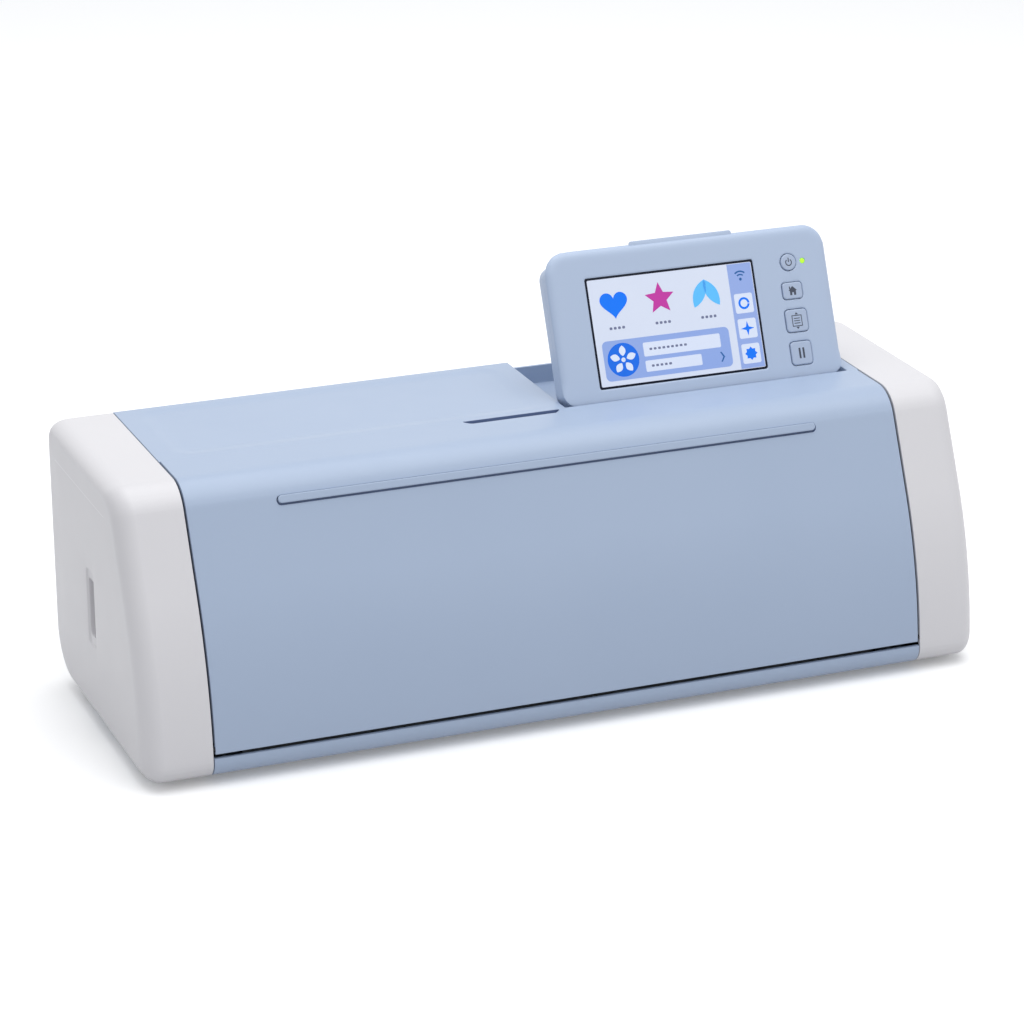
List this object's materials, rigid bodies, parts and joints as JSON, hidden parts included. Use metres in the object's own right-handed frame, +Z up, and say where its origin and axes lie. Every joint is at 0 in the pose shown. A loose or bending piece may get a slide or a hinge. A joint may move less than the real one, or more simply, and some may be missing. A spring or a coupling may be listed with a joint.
{
  "type": "die cutting machine",
  "caption": "Tabletop electronic die cutting machine for card and fabric: fold-down front cover, tilting touch panel, moving blade carriage over a mat feed.",
  "frame": {"origin": "on the table under the middle of the machine, millimetre source, metres here", "axes": "+X to the right along the machine, +Y to the back (the front cover faces -Y), +Z up"},
  "size_m": [0.498, 0.178, 0.2378],
  "materials": {
    "base_tray": "pale blue fine-textured moulded plastic",
    "rubber_feet": "black rubber",
    "base_screws": "plain steel",
    "left_end_cap": "white satin moulded plastic",
    "right_end_cap": "white satin moulded plastic",
    "top_cover": "pale blue fine-textured moulded plastic",
    "rear_cover": "pale blue fine-textured moulded plastic",
    "rear_cover_screws": "plain steel",
    "left_side_frame": "zinc-coated sheet steel",
    "right_side_frame": "zinc-coated sheet steel",
    "front_deck": "grey moulded plastic",
    "rear_deck": "grey moulded plastic",
    "cutting_strip": "natural white nylon",
    "main_beam": "zinc-coated sheet steel",
    "guide_rod": "plain steel",
    "shaft_bushes": "turned brass",
    "carriage_motor": "black moulded or painted",
    "idler_bracket": "zinc-coated sheet steel",
    "drive_belt": "black rubber",
    "feed_motor": "black moulded or painted",
    "scanner_bar": "black moulded or painted",
    "scanner_glass": "clear glass",
    "main_board": "green circuit board",
    "power_board": "green circuit board",
    "power_inlet": "black moulded or painted",
    "usb_socket": "plain steel",
    "panel_hinge_pins": "plain steel",
    "front_cover": "pale blue fine-textured moulded plastic",
    "front_cover_liner": "white satin moulded plastic",
    "cover_rib": "pale blue fine-textured moulded plastic",
    "cover_hinge_pins": "plain steel",
    "panel_bezel": "greyer blue satin moulded plastic",
    "panel_back": "greyer blue satin moulded plastic",
    "lcd_module": "display module",
    "touch_glass": "clear glass",
    "panel_board": "green circuit board",
    "status_lamp": "lime green light pipe",
    "panel_screws": "plain steel",
    "power_button": "pale blue key with a dark printed symbol",
    "home_button": "pale blue key with a dark printed symbol",
    "feed_button": "pale blue key with a dark printed symbol",
    "pause_button": "pale blue key with a dark printed symbol",
    "carriage_frame": "grey moulded plastic",
    "carriage_cover": "white satin moulded plastic",
    "carriage_bushes": "turned brass",
    "belt_clamp": "black moulded or painted",
    "tool_rods": "plain steel",
    "tool_block": "black moulded or painted",
    "lock_lever": "blue moulded lever",
    "blade_holder": "grey moulded plastic",
    "blade_tip": "plain steel",
    "feed_roller": "black rubber",
    "feed_gear": "natural white nylon",
    "feed_pinion": "turned brass",
    "pinch_shaft": "plain steel",
    "pinch_rollers": "black rubber",
    "motor_pulley": "turned brass",
    "idler_pulley": "turned brass"
  },
  "bodies": {
    "machine_body": {"base_tray": "base_tray", "rubber_feet": "rubber_feet", "base_screws": "base_screws", "left_end_cap": "left_end_cap", "right_end_cap": "right_end_cap", "top_cover": "top_cover", "rear_cover": "rear_cover", "rear_cover_screws": "rear_cover_screws", "left_side_frame": "left_side_frame", "right_side_frame": "right_side_frame", "front_deck": "front_deck", "rear_deck": "rear_deck", "cutting_strip": "cutting_strip", "main_beam": "main_beam", "guide_rod": "guide_rod", "shaft_bushes": "shaft_bushes", "carriage_motor": "carriage_motor", "idler_bracket": "idler_bracket", "drive_belt": "drive_belt", "feed_motor": "feed_motor", "scanner_bar": "scanner_bar", "scanner_glass": "scanner_glass", "main_board": "main_board", "power_board": "power_board", "power_inlet": "power_inlet", "usb_socket": "usb_socket", "panel_hinge_pins": "panel_hinge_pins"},
    "front_cover_body": {"front_cover": "front_cover", "front_cover_liner": "front_cover_liner", "cover_rib": "cover_rib", "cover_hinge_pins": "cover_hinge_pins"},
    "panel_body": {"panel_bezel": "panel_bezel", "panel_back": "panel_back", "lcd_module": "lcd_module", "touch_glass": "touch_glass", "panel_board": "panel_board", "status_lamp": "status_lamp", "panel_screws": "panel_screws"},
    "power_key": {"power_button": "power_button"},
    "home_key": {"home_button": "home_button"},
    "feed_key": {"feed_button": "feed_button"},
    "pause_key": {"pause_button": "pause_button"},
    "carriage_body": {"carriage_frame": "carriage_frame", "carriage_cover": "carriage_cover", "carriage_bushes": "carriage_bushes", "belt_clamp": "belt_clamp", "tool_rods": "tool_rods"},
    "tool_body": {"tool_block": "tool_block"},
    "lever_body": {"lock_lever": "lock_lever"},
    "blade_body": {"blade_holder": "blade_holder", "blade_tip": "blade_tip"},
    "feed_body": {"feed_roller": "feed_roller", "feed_gear": "feed_gear"},
    "pinion_body": {"feed_pinion": "feed_pinion"},
    "pinch_body": {"pinch_shaft": "pinch_shaft", "pinch_rollers": "pinch_rollers"},
    "motor_pulley_body": {"motor_pulley": "motor_pulley"},
    "idler_pulley_body": {"idler_pulley": "idler_pulley"}
  },
  "joints": [
    {"name": "front_cover_hinge", "type": "hinge", "parent": "machine_body", "child": "front_cover_body", "pos_m": [0, -0.0866, 0.021], "axis": [1, 0, 0], "range_deg": [0, 114]},
    {"name": "panel_tilt", "type": "hinge", "parent": "machine_body", "child": "panel_body", "pos_m": [0.11625, 0.003, 0.1533], "axis": [1, 0, 0], "range_deg": [-67.4, 0]},
    {"name": "power_key_press", "type": "slide", "parent": "panel_body", "child": "power_key", "axis": [0, 0.9232, -0.3843], "range_m": [0, 0.001], "stiffness_N_per_m": 400, "springref_m": -0.0006},
    {"name": "home_key_press", "type": "slide", "parent": "panel_body", "child": "home_key", "axis": [0, 0.9232, -0.3843], "range_m": [0, 0.001], "stiffness_N_per_m": 400, "springref_m": -0.0006},
    {"name": "feed_key_press", "type": "slide", "parent": "panel_body", "child": "feed_key", "axis": [0, 0.9232, -0.3843], "range_m": [0, 0.001], "stiffness_N_per_m": 400, "springref_m": -0.0006},
    {"name": "pause_key_press", "type": "slide", "parent": "panel_body", "child": "pause_key", "axis": [0, 0.9232, -0.3843], "range_m": [0, 0.001], "stiffness_N_per_m": 400, "springref_m": -0.0006},
    {"name": "carriage_slide", "type": "slide", "parent": "machine_body", "child": "carriage_body", "axis": [1, 0, 0], "range_m": [-0.34, 0]},
    {"name": "tool_stroke", "type": "slide", "parent": "carriage_body", "child": "tool_body", "axis": [0, 0, 1], "range_m": [-0.006, 0], "stiffness_N_per_m": 150, "springref_m": 0.012},
    {"name": "lock_lever_hinge", "type": "hinge", "parent": "tool_body", "child": "lever_body", "pos_m": [0.17, -0.0135, 0.11], "axis": [1, 0, 0], "range_deg": [-45, 0]},
    {"name": "blade_lift", "type": "slide", "parent": "tool_body", "child": "blade_body", "axis": [0, 0, 1], "range_m": [0, 0.024]},
    {"name": "feed_spin", "type": "hinge", "parent": "machine_body", "child": "feed_body", "pos_m": [0, 0, 0.0362], "axis": [1, 0, 0], "continuous": true},
    {"name": "pinion_spin", "type": "hinge", "parent": "machine_body", "child": "pinion_body", "pos_m": [-0.217, 0.0281, 0.02569], "axis": [1, 0, 0], "continuous": true},
    {"name": "pinch_spin", "type": "hinge", "parent": "machine_body", "child": "pinch_body", "pos_m": [0, 0, 0.0508], "axis": [1, 0, 0], "continuous": true},
    {"name": "motor_pulley_spin", "type": "hinge", "parent": "machine_body", "child": "motor_pulley_body", "pos_m": [0.19, 0.013, 0.116], "axis": [0, 1, 0], "continuous": true},
    {"name": "idler_pulley_spin", "type": "hinge", "parent": "machine_body", "child": "idler_pulley_body", "pos_m": [-0.19, 0.013, 0.116], "axis": [0, 1, 0], "continuous": true}
  ],
  "couplings": [
    {"joint": "pinion_spin", "follows": "feed_spin", "ratio": -2.3333},
    {"joint": "pinch_spin", "follows": "feed_spin", "ratio": -1.8},
    {"joint": "motor_pulley_spin", "follows": "carriage_slide", "rad_per_m": 158.73},
    {"joint": "idler_pulley_spin", "follows": "carriage_slide", "rad_per_m": 158.73}
  ]
}
